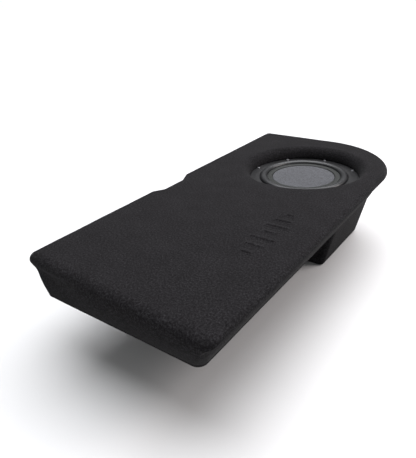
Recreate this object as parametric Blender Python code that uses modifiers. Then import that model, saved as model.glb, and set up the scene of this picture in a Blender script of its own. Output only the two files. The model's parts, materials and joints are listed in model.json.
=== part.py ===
"""Powered car subwoofer: a flat carpeted enclosure with a deeper pod at one end, an up-firing
shallow driver in a bowl over the pod, and a plate amplifier on the pod's far wall.

Metres, +Z up. +Y runs along the enclosure towards the driver and +X to its right. The origin is
on the pod's underside, below the middle of the lid.
"""
import math

import bmesh
import bpy
from mathutils import Matrix

# Enclosure
WIDTH = 0.420               # lid, left to right
LENGTH = 0.881              # lid, near end to far end
HEIGHT = 0.200              # pod underside to the lid's surface
SLAB_DEPTH = 0.076          # lid surface to the slab's underside
NEAR_SKEW = 0.021           # the near edge's right end stands out by this much
NEAR_POINT = 0.00097        # how far its sharp corner would stand past the round one
NEAR_FOOT = 0.0175          # near edge of the slab's underside, behind the lid's nearest point
FAR_RADIUS = 0.211          # big round corner at the far right
NOTCH_Y = (-0.088, -0.064, 0.002, 0.036)    # start, floor, floor and end of the side notch
NOTCH_DEPTH = 0.016
SIDE_SLOPE = 0.037          # how far the slab's walls lean in by its underside
NEAR_RIGHT_FOOT = 0.004     # the underside's near-right corner stands out by this much
LIP_HEIGHT = 0.0132
LIP_ROUND = 0.010
LIP_OVERHANG = 0.0045
NEAR_LIP_SHARE = 1.9        # the near edge is rounder than the others by this factor
NEAR_OVERHANG = 0.0015      # the near wall starts this far behind the lid's near edge
EDGE_ROUND = 0.008

# Pod
POD_HALF_WIDTH = 0.128
POD_Y = (0.111, 0.327)
POD_LEAN = 0.25             # sideways lean of the pod's side walls for each metre of height
POD_TOP = 0.178
POD_ROUND = 0.010

# Layers, from outside to inside
CARPET = 0.003
GAP = 0.0003
SHELL = 0.005
LID_BOARD = 0.010

# Raised sound-wave mark on the lid
EMBLEM_START = (0.122, -0.214)
EMBLEM_PITCH = 0.027
EMBLEM_BARS = (0.018, 0.036, 0.048, 0.028, 0.044, 0.032, 0.016)
EMBLEM_BAR = 0.006
EMBLEM_RISE = 0.002

# Driver
DRIVER = (0.0185, 0.220)
FLANGE_TOP = 0.170
FLANGE_RADIUS = 0.136
FLANGE_THICKNESS = 0.003
BOLT_CIRCLE = 0.129
SCREWS = 8
GASKET = 0.001
LEDGE_Z = FLANGE_TOP - FLANGE_THICKNESS - GAP - GASKET - GAP    # what the gasket lies on
BOWL_FLOOR_RADIUS = 0.137
BOWL_ROUND = (0.018, 0.026)     # half axes of its round upper edge, across and down
BOWL_STEPS = 40
CONE_RADIUS = 0.0865
DISC_RADIUS = 0.0755
FORMER_RADIUS = 0.0321
ROLL_CENTRE = 0.0975
ROLL_RADIUS = 0.0088
RUBBER = 0.0012
RUBBER_OUTER = 0.1075
RUBBER_INNER = 0.0800
MAGNET_RADIUS = 0.073
YOKE_Z = (0.084, 0.0923)
MAGNET_Z = (0.0926, 0.112)
TOP_PLATE_Z = (0.1123, 0.120)

# Amplifier on the pod's far wall
PLATE_Y = (POD_Y[1] - CARPET, POD_Y[1])
PLATE_HALF_WIDTH = 0.118
PLATE_Z = (0.010, 0.110)
BOARD_Y = (0.306, 0.3076)
BODY_Y = 0.308              # inner end of whatever stands between the board and the plate
BODY_END_Y = PLATE_Y[0] - GAP
KNOBS = {"gain_knob": -0.020, "crossover_knob": -0.048, "bass_boost_knob": -0.076}
KNOB_Z = 0.088
SWITCH = (-0.022, 0.060)
SWITCH_TRAVEL = 0.004
INPUT_SOCKET = (-0.052, 0.060)
JACKS = {"rca_jack_left": (-0.074, 0.060), "rca_jack_right": (-0.092, 0.060)}
TERMINAL = (-0.040, 0.032)
FUSE = (-0.090, 0.032)
LED = (-0.098, 0.088)
HEAT_SINK_X = (0.006, 0.104)
BOARD_POSTS = ((-0.098, 0.047), (0.096, 0.092), (0.096, 0.030))
PLATE_SCREWS = ((-0.112, 0.016), (0.112, 0.016), (-0.112, 0.104), (0.112, 0.104))

CARPET_LOOK = ((0.028, 0.028, 0.030), 0.95, 0.0)
SHELL_LOOK = ((0.05, 0.05, 0.05), 0.6, 0.0)
BOARD_LOOK = ((0.45, 0.33, 0.20), 0.8, 0.0)
STEEL_LOOK = ((0.05, 0.05, 0.055), 0.4, 0.6)
BRIGHT_LOOK = ((0.60, 0.60, 0.62), 0.35, 1.0)
ALUMINIUM_LOOK = ((0.07, 0.07, 0.075), 0.45, 0.8)
RUBBER_LOOK = ((0.02, 0.02, 0.02), 0.4, 0.0)
PLASTIC_LOOK = ((0.03, 0.03, 0.03), 0.45, 0.0)

LID = (
    (-WIDTH / 2, -LENGTH / 2 - NEAR_POINT + NEAR_SKEW, 0.0105, 3),
    (WIDTH / 2, -LENGTH / 2 - NEAR_POINT, 0.019, 4),
    (WIDTH / 2, LENGTH / 2, FAR_RADIUS, 14),
    (-WIDTH / 2, LENGTH / 2, 0.013, 4),
    (-WIDTH / 2, NOTCH_Y[3], 0.012, 2),
    (-WIDTH / 2 + NOTCH_DEPTH, NOTCH_Y[2], 0.008, 2),
    (-WIDTH / 2 + NOTCH_DEPTH, NOTCH_Y[1], 0.008, 2),
    (-WIDTH / 2, NOTCH_Y[0], 0.012, 2),
)


# ---------------------------------------------------------------- scene and materials

def clear_scene():
    for thing in list(bpy.data.objects):
        bpy.data.objects.remove(thing, do_unlink=True)


def new_collection(name):
    collection = bpy.data.collections.new(name)
    bpy.context.scene.collection.children.link(collection)
    return collection


def material(name, look):
    colour, roughness, metallic = look
    made = bpy.data.materials.new(name)
    made.use_nodes = True
    shader = made.node_tree.nodes["Principled BSDF"]
    shader.inputs["Base Color"].default_value = (*colour, 1.0)
    shader.inputs["Roughness"].default_value = roughness
    shader.inputs["Metallic"].default_value = metallic
    made.diffuse_color = (*colour, 1.0)
    return made


def add_object(name, mesh, look=None):
    """Put a mesh in the parts collection, or among the cutters when it has no look."""
    made = bpy.data.objects.new(name, mesh)
    if look:
        PARTS.objects.link(made)
        mesh.materials.append(material(name, look))
    else:
        CUTTERS.objects.link(made)
        made.hide_render = True
        made.display_type = "WIRE"
    return made


def mesh_from(name, builder):
    """A mesh filled in by builder(bmesh), with its faces turned outwards."""
    shape = bmesh.new()
    builder(shape)
    bmesh.ops.recalc_face_normals(shape, faces=shape.faces)
    mesh = bpy.data.meshes.new(name)
    shape.to_mesh(mesh)
    shape.free()
    return mesh


# ---------------------------------------------------------------- outlines

def unit(from_point, to_point):
    dx = to_point[0] - from_point[0]
    dy = to_point[1] - from_point[1]
    length = math.hypot(dx, dy)
    return dx / length, dy / length


def inset(corners, distance, near=None):
    """Move every side of an outline inwards; its first side, the near one, may move by its own."""
    count = len(corners)
    moved = []
    for i, corner in enumerate(corners):
        before = unit(corners[i - 1], corner)
        after = unit(corner, corners[(i + 1) % count])
        step_before = near if near is not None and i == 1 else distance
        step_after = near if near is not None and i == 0 else distance
        turn = before[0] * after[1] - before[1] * after[0]
        x = corner[0] + (after[0] * step_before - before[0] * step_after) / turn
        y = corner[1] + (after[1] * step_before - before[1] * step_after) / turn
        radius = corner[2] - distance if turn > 0 else corner[2] + distance
        moved.append((x, y, max(radius, 0.0015), corner[3]))
    return moved


def outline(corners):
    """Points of a closed outline whose corners (x, y, radius, steps) are rounded by arcs."""
    points = []
    count = len(corners)
    for i, (x, y, radius, steps) in enumerate(corners):
        back = unit((x, y), corners[i - 1])
        ahead = unit((x, y), corners[(i + 1) % count])
        half = math.acos(max(-1.0, min(1.0, back[0] * ahead[0] + back[1] * ahead[1]))) / 2
        reach = radius / math.tan(half)
        middle = (back[0] + ahead[0], back[1] + ahead[1])
        scale = radius / math.sin(half) / math.hypot(*middle)
        centre = (x + middle[0] * scale, y + middle[1] * scale)
        start = math.atan2(y + back[1] * reach - centre[1], x + back[0] * reach - centre[0])
        end = math.atan2(y + ahead[1] * reach - centre[1], x + ahead[0] * reach - centre[0])
        sweep = (end - start + math.pi) % (2 * math.pi) - math.pi
        for k in range(steps + 1):
            angle = start + sweep * k / steps
            points.append((centre[0] + radius * math.cos(angle), centre[1] + radius * math.sin(angle)))
    return points


def rectangle(x0, x1, y0, y1, radius):
    return [(x0, y0, radius, 3), (x1, y0, radius, 3), (x1, y1, radius, 3), (x0, y1, radius, 3)]


def slab_foot():
    """Outline of the slab's underside: the lid's, with its walls leaning in."""
    near = -LENGTH / 2 + NEAR_FOOT
    foot = inset(LID, SIDE_SLOPE)
    foot[0] = (foot[0][0], near, 0.016, LID[0][3])
    foot[1] = (foot[1][0] + NEAR_RIGHT_FOOT, near, 0.018, LID[1][3])
    return foot


def pod_plan(z):
    """Outline of the pod at a height."""
    half = POD_HALF_WIDTH + POD_LEAN * z
    return rectangle(-half, half, *POD_Y, POD_ROUND)


# ---------------------------------------------------------------- shape makers

def loft(name, levels, look=None):
    """A solid through outlines stacked from bottom to top, each level an (outline, z)."""
    def build(shape):
        rings = [[shape.verts.new((x, y, z)) for x, y in outline(plan)] for plan, z in levels]
        for low, high in zip(rings, rings[1:]):
            for i in range(len(low)):
                j = (i + 1) % len(low)
                shape.faces.new((low[i], low[j], high[j], high[i]))
        shape.faces.new(reversed(rings[0]))
        shape.faces.new(rings[-1])
    return add_object(name, mesh_from(name, build), look)


def box(name, low, high, look=None):
    def build(shape):
        add_box(shape, low, high)
    return add_object(name, mesh_from(name, build), look)


def add_box(shape, low, high):
    size = [b - a for a, b in zip(low, high)]
    middle = [(a + b) / 2 for a, b in zip(low, high)]
    place = Matrix.Translation(middle) @ Matrix.Diagonal((*size, 1.0))
    bmesh.ops.create_cube(shape, size=1.0, matrix=place)


def add_rod(shape, radius, low, high, centre, axis="Z", sides=16):
    """A round bar from low to high along Z or Y; centre gives its two other coordinates."""
    middle = (low + high) / 2
    if axis == "Z":
        place = Matrix.Translation((centre[0], centre[1], middle))
    else:
        place = Matrix.Translation((centre[0], middle, centre[1])) @ Matrix.Rotation(math.pi / 2, 4, "X")
    bmesh.ops.create_cone(
        shape, cap_ends=True, segments=sides, radius1=radius, radius2=radius, depth=high - low, matrix=place
    )


def rods(name, radius, low, high, centres, axis="Z", sides=16):
    """Cutters or posts: one round bar for each centre, in one mesh."""
    def build(shape):
        for centre in centres:
            add_rod(shape, radius, low, high, centre, axis, sides)
    return add_object(name, mesh_from(name, build))


def turned(name, profile, look=None, place=(0.0, 0.0, 0.0), axis="Z", steps=36, closed=True):
    """A turned solid. The profile's (radius, height) points run down its outer side."""
    mesh = bpy.data.meshes.new(name)
    count = len(profile)
    edges = [(i, i + 1) for i in range(count - 1)]
    if closed:
        edges.append((count - 1, 0))
    mesh.from_pydata([(radius, 0.0, height) for radius, height in profile], edges, [])
    made = add_object(name, mesh, look)
    made.location = place
    if axis == "Y":
        made.rotation_euler = (-math.pi / 2, 0.0, 0.0)
    screw = made.modifiers.new("turn", "SCREW")
    screw.axis = "Z"
    screw.angle = 2 * math.pi
    screw.steps = steps
    screw.render_steps = steps
    screw.use_merge_vertices = True
    screw.merge_threshold = 0.00001
    screw.use_smooth_shade = True
    return made


def boolean(target, other, operation):
    step = target.modifiers.new(other.name, "BOOLEAN")
    step.operation = operation
    step.object = other
    step.solver = "EXACT"
    return target


def cut(target, *cutters):
    for cutter in cutters:
        boolean(target, cutter, "DIFFERENCE")
    return target


def join(target, *others):
    for other in others:
        boolean(target, other, "UNION")
    return target


def ring_points(radius, count):
    """Points around the driver's axis."""
    points = []
    for i in range(count):
        angle = 2 * math.pi * i / count
        points.append((DRIVER[0] + radius * math.cos(angle), DRIVER[1] + radius * math.sin(angle)))
    return points


# ---------------------------------------------------------------- enclosure

def lid_levels(depth, bottom):
    """Lid levels, sunk below its surface by depth, with a round upper edge."""
    levels = [(inset(LID, depth), bottom)]
    for k in range(4):
        angle = math.pi / 2 * k / 3
        inwards = (LIP_ROUND - depth) * (1 - math.cos(angle))
        z = HEIGHT - LIP_ROUND + (LIP_ROUND - depth) * math.sin(angle)
        levels.append((inset(LID, depth + inwards, near=depth + inwards * NEAR_LIP_SHARE), z))
    return levels


def slab_levels(depth, top=None):
    """Slab levels from the underside up, shrunk by depth; a top makes a cutter that stands past it."""
    foot = inset(slab_foot(), depth)
    brim = inset(LID, LIP_OVERHANG + depth, near=NEAR_OVERHANG + depth)
    low = HEIGHT - SLAB_DEPTH + max(depth, -GAP)
    high = HEIGHT - CARPET - LID_BOARD - GAP
    levels = []
    for k in range(3):
        angle = math.pi / 2 * k / 2
        plan = inset(foot, EDGE_ROUND * (1 - math.sin(angle)))
        levels.append((plan, low + EDGE_ROUND * (1 - math.cos(angle))))
    levels.append((brim, high))
    if top:
        levels.append((brim, top))
    return levels


def pod_levels(depth, top=POD_TOP):
    low = max(depth, 0.0)
    return [
        (inset(pod_plan(low), depth + 0.003), low),
        (inset(pod_plan(low + 0.003), depth), low + 0.003),
        (inset(pod_plan(top), depth), top),
    ]


def bowl_arc(depth):
    """Round upper edge of the bowl, sunk into the enclosure by depth."""
    across, down = BOWL_ROUND
    points = []
    for k in range(6):
        angle = math.radians(78) * k / 5
        points.append((
            BOWL_FLOOR_RADIUS + across - (across - depth) * math.cos(angle),
            HEIGHT - down + (down - depth) * math.sin(angle),
        ))
    return points


def bowl_cutter(name, depth, floor, reach):
    """Solid that fills the bowl, grown by depth, from a floor height up past the lid."""
    arc = bowl_arc(depth)
    profile = [(0.0, HEIGHT + 0.004), (arc[-1][0] + reach, HEIGHT + 0.004)]
    profile += list(reversed(arc))
    profile += [(BOWL_FLOOR_RADIUS + depth, floor), (0.0, floor)]
    return turned(name, profile, place=(*DRIVER, 0.0), steps=BOWL_STEPS, closed=False)


def emblem():
    """Raised generic sound-wave mark: a row of bars along the lid's right."""
    def build(shape):
        for i, length in enumerate(EMBLEM_BARS):
            y = EMBLEM_START[1] + EMBLEM_PITCH * i
            low = (EMBLEM_START[0] - length / 2, y - EMBLEM_BAR / 2, HEIGHT - 0.001)
            high = (EMBLEM_START[0] + length / 2, y + EMBLEM_BAR / 2, HEIGHT + EMBLEM_RISE)
            add_box(shape, low, high)
    return add_object("emblem", mesh_from("emblem", build))


def carpet_top():
    """Carpet over the lid, round its lip and down the bowl, with the raised mark."""
    hem = HEIGHT - LIP_HEIGHT
    skin = loft("carpet_top", [(inset(LID, 0.0025), hem)] + lid_levels(0.0, hem + 0.003), CARPET_LOOK)
    core = loft("carpet_top_core", [(inset(LID, CARPET), 0.150)] + lid_levels(CARPET, 0.188))
    lining = bowl_arc(CARPET)
    floor = FLANGE_TOP - FLANGE_THICKNESS
    profile = [(0.0, HEIGHT - 0.001), (lining[-1][0], HEIGHT - 0.001)] + list(reversed(lining))
    profile += [(BOWL_FLOOR_RADIUS + CARPET, floor), (0.0, floor)]
    plug = turned("carpet_bowl", profile, place=(*DRIVER, 0.0), steps=BOWL_STEPS, closed=False)
    bowl = bowl_cutter("carpet_bowl_hollow", 0.0, 0.150, 0.020)
    cut(skin, core)
    join(skin, plug, emblem())
    return cut(skin, bowl)


def top_panel():
    depth = CARPET + GAP
    low = HEIGHT - CARPET - LID_BOARD
    panel = loft("top_panel", lid_levels(depth, low), BOARD_LOOK)
    return cut(panel, bowl_cutter("top_panel_hole", depth, 0.150, 0.0))


def slab_opening(name, grow):
    """Opening in the slab's floor above the pod, for the driver's motor."""
    plan = inset(rectangle(-0.130, 0.130, 0.122, 0.312, 0.006), -grow)
    return loft(name, [(plan, 0.110), (plan, 0.150)])


def carpet_slab():
    skin = loft("carpet_slab", slab_levels(0.0), CARPET_LOOK)
    core = loft("carpet_slab_core", slab_levels(CARPET, 0.195))
    return cut(skin, core, slab_opening("carpet_slab_opening", 0.001))


def slab_shell():
    shell = loft("slab_shell", slab_levels(CARPET + GAP), SHELL_LOOK)
    core = loft("slab_shell_core", slab_levels(CARPET + GAP + SHELL, 0.195))
    return cut(shell, core, slab_opening("slab_shell_opening", 0.0))


def pod_walls(name, outer, inner, look):
    """A pod skin between two depths, trimmed to the slab that it meets."""
    skin = loft(name, pod_levels(outer), look)
    core = loft(name + "_core", pod_levels(inner, 0.190))
    slab = loft(name + "_slab", slab_levels(-GAP, 0.195))
    return cut(skin, core, slab)


def carpet_pod():
    skin = pod_walls("carpet_pod", 0.0, CARPET, CARPET_LOOK)
    low = (-PLATE_HALF_WIDTH - 0.0005, 0.310, PLATE_Z[0] - 0.0005)
    high = (PLATE_HALF_WIDTH + 0.0005, 0.340, PLATE_Z[1] + 0.0005)
    return cut(skin, box("carpet_pod_window", low, high))


def pod_shell():
    shell = pod_walls("pod_shell", CARPET + GAP, CARPET + GAP + SHELL, SHELL_LOOK)
    window = box("pod_shell_window", (-0.104, 0.300, 0.022), (0.104, 0.340, 0.098))
    holes = rods("pod_shell_holes", 0.0020, 0.310, 0.330, PLATE_SCREWS, "Y", 12)
    return cut(shell, window, holes)


def mount_ring():
    """Ring that hangs from the lid and carries the driver's flange."""
    lid = HEIGHT - CARPET - LID_BOARD - GAP
    inner = BOWL_FLOOR_RADIUS + CARPET + 0.0035
    profile = [
        (0.151, lid), (0.151, 0.155), (0.1165, 0.155), (0.1165, LEDGE_Z), (inner, LEDGE_Z), (inner, lid),
    ]
    ring = turned("driver_mount_ring", profile, BOARD_LOOK, (*DRIVER, 0.0), steps=BOWL_STEPS)
    return cut(ring, rods("mount_ring_holes", 0.0025, 0.150, 0.175, screw_centres(), sides=12))


def brace(name, y):
    """Rib between the slab's floor and the lid, with two air holes."""
    low = HEIGHT - SLAB_DEPTH + CARPET + GAP + SHELL + GAP
    high = HEIGHT - CARPET - LID_BOARD - GAP
    rib = box(name, (-0.142, y - 0.006, low), (0.142, y + 0.006, high), BOARD_LOOK)
    holes = rods(name + "_holes", 0.014, y - 0.02, y + 0.02, ((-0.07, 0.158), (0.07, 0.158)), "Y")
    return cut(rib, holes)


def wadding():
    """Soft acoustic fill in the slab's near end."""
    plan = rectangle(-0.140, 0.140, -0.395, -0.200, 0.020)
    return loft("acoustic_wadding", [(plan, 0.134), (plan, 0.174)], ((0.75, 0.74, 0.70), 1.0, 0.0))


# ---------------------------------------------------------------- driver

def screw_centres():
    return ring_points(BOLT_CIRCLE, SCREWS)


def driver_part(name, profile, look, steps=24, closed=True):
    return turned(name, profile, look, (*DRIVER, 0.0), steps=steps, closed=closed)


def basket():
    """Cast frame: flange, leaning wall with windows, spider ledge and motor seat."""
    low = FLANGE_TOP - FLANGE_THICKNESS
    profile = [
        (FLANGE_RADIUS, FLANGE_TOP), (FLANGE_RADIUS, low), (0.1125, low), (0.109, 0.148), (0.092, 0.137),
        (0.076, 0.1203), (0.038, 0.1203), (0.038, 0.1226), (0.076, 0.1226), (0.080, 0.128),
        (0.080, 0.139), (0.0905, 0.139), (0.1058, 0.149), (0.1070, low),
        (0.1045, low), (0.1045, FLANGE_TOP),
    ]
    frame = driver_part("driver_basket", profile, STEEL_LOOK, BOWL_STEPS)

    def windows(shape):
        for i in range(6):
            turn = Matrix.Translation((*DRIVER, 0.0)) @ Matrix.Rotation(math.radians(30 + 60 * i), 4, "Z")
            place = turn @ Matrix.Translation((0.105, 0.0, 0.1525))
            bmesh.ops.create_cube(shape, size=1.0, matrix=place @ Matrix.Diagonal((0.026, 0.052, 0.021, 1.0)))
    openings = add_object("basket_windows", mesh_from("basket_windows", windows))
    holes = rods("basket_holes", 0.0028, 0.160, 0.175, screw_centres(), sides=12)
    return cut(frame, openings, holes)


def gasket_ring():
    """Foam ring that seals the flange against the mount ring's ledge, inside the screws."""
    low = LEDGE_Z + GAP
    high = low + GASKET
    profile = [(0.1255, high), (0.1255, low), (0.1180, low), (0.1180, high)]
    return driver_part("gasket_ring", profile, RUBBER_LOOK, BOWL_STEPS)


def surround():
    """Half-roll rubber ring between the flange and the cone."""
    low = FLANGE_TOP + GAP
    top = low + RUBBER
    inside = ROLL_RADIUS - RUBBER / 2
    outside = ROLL_RADIUS + RUBBER / 2
    steps = [math.pi * k / 5 for k in range(6)]
    under = [(ROLL_CENTRE + inside * math.cos(a), low + inside * math.sin(a)) for a in steps]
    over = [(ROLL_CENTRE - outside * math.cos(a), top + outside * math.sin(a)) for a in steps]
    profile = [(RUBBER_OUTER, top), (RUBBER_OUTER, low)] + under
    profile += [(RUBBER_INNER, low), (RUBBER_INNER, top)] + over
    return driver_part("surround", profile, RUBBER_LOOK, BOWL_STEPS)


def cone():
    """Stiff shallow cone: a flat rim for the surround, and a funnel down to the former."""
    top = FLANGE_TOP
    neck = FORMER_RADIUS + GAP
    profile = [
        (CONE_RADIUS, top), (CONE_RADIUS, top - 0.0014), (0.075, top - 0.0014), (0.036, 0.1508),
        (neck, 0.1508), (neck, 0.1532), (0.0355, 0.1532), (0.074, top),
    ]
    return driver_part("cone", profile, RUBBER_LOOK, BOWL_STEPS)


def centre_disc():
    """Shallow dished cap on the cone's rim."""
    rim = FLANGE_TOP + GAP
    dish = [(DISC_RADIUS * k / 5, rim + 0.0013 - 0.0033 * (1 - (k / 5) ** 2)) for k in range(6)]
    lower = [(DISC_RADIUS, rim), (DISC_RADIUS - 0.0035, rim)]
    lower += [(r, z - 0.0011) for r, z in reversed(dish[:5])]
    return driver_part("centre_disc", dish + lower, ((0.16, 0.16, 0.17), 0.55, 0.1), BOWL_STEPS, closed=False)


def coil_former():
    inner = FORMER_RADIUS - 0.0009
    profile = [(FORMER_RADIUS, 0.154), (FORMER_RADIUS, 0.106), (inner, 0.106), (inner, 0.154)]
    return driver_part("coil_former", profile, ((0.55, 0.40, 0.20), 0.5, 0.0))


def voice_coil():
    inner = FORMER_RADIUS + GAP
    profile = [(0.0342, 0.127), (0.0342, 0.107), (inner, 0.107), (inner, 0.127)]
    return driver_part("voice_coil", profile, ((0.55, 0.22, 0.08), 0.35, 0.9))


def spider():
    """Corrugated cloth ring that centres the coil."""
    seat = 0.139 + GAP
    upper = [(FORMER_RADIUS + GAP, seat + 0.0013), (0.036, seat + 0.0013)]
    for k in range(7):
        upper.append((0.040 + 0.006 * k, seat + 0.0013 + 0.0018 * (-1) ** k))
    upper.append((0.090, seat + 0.0013))
    lower = [(r, z - 0.0012) for r, z in upper]
    return driver_part("spider", upper + list(reversed(lower)), ((0.60, 0.50, 0.25), 0.9, 0.0))


def top_plate():
    low, high = TOP_PLATE_Z
    return driver_part("top_plate", [(0.071, high), (0.071, low), (0.0352, low), (0.0352, high)], BRIGHT_LOOK)


def magnet():
    low, high = MAGNET_Z
    profile = [(MAGNET_RADIUS, high), (MAGNET_RADIUS, low), (0.044, low), (0.044, high)]
    return driver_part("magnet", profile, ((0.08, 0.08, 0.085), 0.6, 0.2))


def yoke():
    """Back plate with the pole piece and its vent."""
    low, high = YOKE_Z
    profile = [(0.0302, 0.120), (0.0302, high), (0.071, high), (0.071, low), (0.012, low), (0.012, 0.120)]
    return driver_part("yoke", profile, BRIGHT_LOOK)


def driver_terminal():
    x, y = DRIVER
    low = (x - 0.109, y - 0.012, 0.126)
    high = (x - 0.093, y + 0.012, 0.1365)
    return box("driver_terminal", low, high, PLASTIC_LOOK)


def driver_screw(name, centre):
    """Pan-head screw through the flange into the mount ring."""
    seat = FLANGE_TOP + GAP
    profile = [
        (0.0, seat + 0.0022), (0.0012, seat + 0.0022), (0.0012, seat + 0.0030), (0.0034, seat + 0.0028),
        (0.0045, seat + 0.0018), (0.0045, seat), (0.0022, seat), (0.0022, 0.160), (0.0, 0.158),
    ]
    return turned(name, profile, BRIGHT_LOOK, (*centre, 0.0), steps=12, closed=False)


def speaker_lead(name, side, colour):
    """Lead inside the pod, from the amplifier's board to the driver's terminal."""
    x = DRIVER[0] - 0.101
    y = DRIVER[1] + 0.005 * side
    z = 0.060 + 0.004 * side
    route = (
        (x, y, 0.1257), (x, y, 0.112), (x - 0.002, y + 0.008, 0.090), (x, y + 0.028, 0.072 + 0.004 * side),
        (x + 0.006, y + 0.052, z + 0.002), (x + 0.012, 0.290, z), (x + 0.012, BOARD_Y[0] - GAP, z),
    )
    curve = bpy.data.curves.new(name, "CURVE")
    curve.dimensions = "3D"
    curve.bevel_depth = 0.0016
    curve.bevel_resolution = 1
    curve.use_fill_caps = True
    spline = curve.splines.new("POLY")
    spline.points.add(len(route) - 1)
    for point, place in zip(spline.points, route):
        point.co = (*place, 1.0)
    lead = bpy.data.objects.new(name, curve)
    PARTS.objects.link(lead)
    curve.materials.append(material(name, (colour, 0.4, 0.0)))
    return lead


# ---------------------------------------------------------------- amplifier

def amp_plate():
    """Aluminium plate with posts for the board and a hole for each control and socket."""
    y0, y1 = PLATE_Y
    low = (-PLATE_HALF_WIDTH, y0, PLATE_Z[0])
    high = (PLATE_HALF_WIDTH, y1, PLATE_Z[1])
    plate = box("amp_plate", low, high, ALUMINIUM_LOOK)
    posts = rods("amp_posts", 0.003, BOARD_Y[1] + GAP, y0 + 0.001, BOARD_POSTS, "Y", 12)
    round_holes = [(0.0034, (x, KNOB_Z)) for x in KNOBS.values()]
    round_holes += [(0.0045, centre) for centre in JACKS.values()]
    round_holes += [(0.0018, LED)]
    round_holes += [(0.0023, centre) for centre in PLATE_SCREWS]

    def holes(shape):
        for radius, centre in round_holes:
            add_rod(shape, radius, y0 - 0.01, y1 + 0.01, centre, "Y", 12)
        for (x, z), half_x, half_z in (
            (SWITCH, 0.0044, 0.0020), (INPUT_SOCKET, 0.0113, 0.0053),
            (TERMINAL, 0.0243, 0.0083), (FUSE, 0.0123, 0.0083),
        ):
            add_box(shape, (x - half_x, y0 - 0.01, z - half_z), (x + half_x, y1 + 0.01, z + half_z))
    join(plate, posts)
    return cut(plate, add_object("amp_plate_holes", mesh_from("amp_plate_holes", holes)))


def plate_screw(name, centre):
    seat = PLATE_Y[1] + GAP
    profile = [
        (0.0, seat + 0.0015), (0.0010, seat + 0.0015), (0.0010, seat + 0.0024), (0.0028, seat + 0.0022),
        (0.0038, seat + 0.0013), (0.0038, seat), (0.0017, seat), (0.0017, seat - 0.008), (0.0, seat - 0.0095),
    ]
    return turned(name, profile, BRIGHT_LOOK, (centre[0], 0.0, centre[1]), "Y", steps=12, closed=False)


def heat_sink():
    """Extruded comb of cooling fins on the plate."""
    x0, x1 = HEAT_SINK_X
    y0 = PLATE_Y[1] + GAP
    fins = 10
    fin = 0.002
    pitch = (x1 - x0 - fin) / (fins - 1)
    comb = [(x0, y0), (x1, y0)]
    for i in reversed(range(fins)):
        left = x0 + pitch * i
        comb += [(left + fin, y0 + 0.003), (left + fin, y0 + 0.016), (left, y0 + 0.016), (left, y0 + 0.003)]
    comb = [p for i, p in enumerate(comb) if i not in (2, len(comb) - 1)]

    def build(shape):
        low = [shape.verts.new((x, y, 0.022)) for x, y in comb]
        face = shape.faces.new(low)
        made = bmesh.ops.extrude_face_region(shape, geom=[face])
        raised = [v for v in made["geom"] if isinstance(v, bmesh.types.BMVert)]
        bmesh.ops.translate(shape, verts=raised, vec=(0.0, 0.0, 0.076))
    return add_object("heat_sink", mesh_from("heat_sink", build), ALUMINIUM_LOOK)


def circuit_board():
    look = ((0.03, 0.16, 0.07), 0.5, 0.0)
    return box("circuit_board", (-0.102, BOARD_Y[0], 0.024), (0.102, BOARD_Y[1], 0.096), look)


def board_part(name, radius, length, centre, colour):
    """A round component on the board's inner face."""
    y1 = BOARD_Y[0] - GAP
    profile = [(0.0, length), (radius, length), (radius, 0.0), (0.0, 0.0)]
    place = (centre[0], y1 - length, centre[1])
    return turned(name, profile, (colour, 0.35, 0.2), place, "Y", steps=20, closed=False)


def toroid():
    y1 = BOARD_Y[0] - GAP
    profile = []
    for k in range(10):
        angle = -2 * math.pi * k / 10 + math.pi / 2
        profile.append((0.011 + 0.005 * math.cos(angle), 0.0055 + 0.0055 * math.sin(angle)))
    look = ((0.55, 0.22, 0.08), 0.35, 0.9)
    return turned("toroid_coil", profile, look, (0.025, y1 - 0.011, 0.052), "Y", steps=20)


def potentiometer(name, x):
    low = (x - 0.006, BODY_Y, KNOB_Z - 0.006)
    high = (x + 0.006, BODY_END_Y, KNOB_Z + 0.006)
    return box(name, low, high, PLASTIC_LOOK)


def knob(name, x):
    """Control knob whose stem reaches through the plate; it turns about its own axis."""
    stem = PLATE_Y[0]
    base = PLATE_Y[1] + 0.0006
    profile = [
        (0.0, base + 0.010), (0.0050, base + 0.010), (0.0058, base + 0.009), (0.0065, base),
        (0.0030, base), (0.0030, stem), (0.0, stem),
    ]
    made = turned(name, profile, PLASTIC_LOOK, (x, 0.0, KNOB_Z), "Y", steps=16, closed=False)
    low = (x - 0.0007, base + 0.0092, KNOB_Z + 0.001)
    high = (x + 0.0007, base + 0.012, KNOB_Z + 0.008)
    return cut(made, box(name + "_groove", low, high))


def phase_switch():
    """Slider of the two-way phase switch, at its left stop."""
    x, z = SWITCH
    low = (x - SWITCH_TRAVEL, PLATE_Y[0], z - 0.0016)
    high = (x, PLATE_Y[1] + 0.003, z + 0.0016)
    return box("phase_switch", low, high, BRIGHT_LOOK)


def switch_body():
    x, z = SWITCH
    low = (x - 0.007, BODY_Y, z - 0.004)
    high = (x + 0.007, BODY_END_Y, z + 0.004)
    return box("switch_body", low, high, PLASTIC_LOOK)


def rca_jack(name, centre):
    """Phono socket, from the board out through the plate."""
    y1 = PLATE_Y[1]
    profile = [
        (0.0016, y1 + 0.010), (0.0042, y1 + 0.010), (0.0042, BODY_END_Y), (0.0055, BODY_END_Y),
        (0.0055, BODY_Y), (0.0, BODY_Y), (0.0, y1 + 0.002), (0.0016, y1 + 0.002),
    ]
    return turned(name, profile, ((0.75, 0.58, 0.20), 0.3, 1.0), (centre[0], 0.0, centre[1]), "Y", steps=12)


def input_socket():
    """Speaker-level input: a box with one hollow for a plug."""
    x, z = INPUT_SOCKET
    low = (x - 0.011, BODY_Y, z - 0.005)
    high = (x + 0.011, 0.334, z + 0.005)
    body = box("speaker_input_socket", low, high, PLASTIC_LOOK)
    return cut(body, box("socket_hollow", (x - 0.0098, 0.322, z - 0.0038), (x + 0.0098, 0.340, z + 0.0038)))


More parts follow.
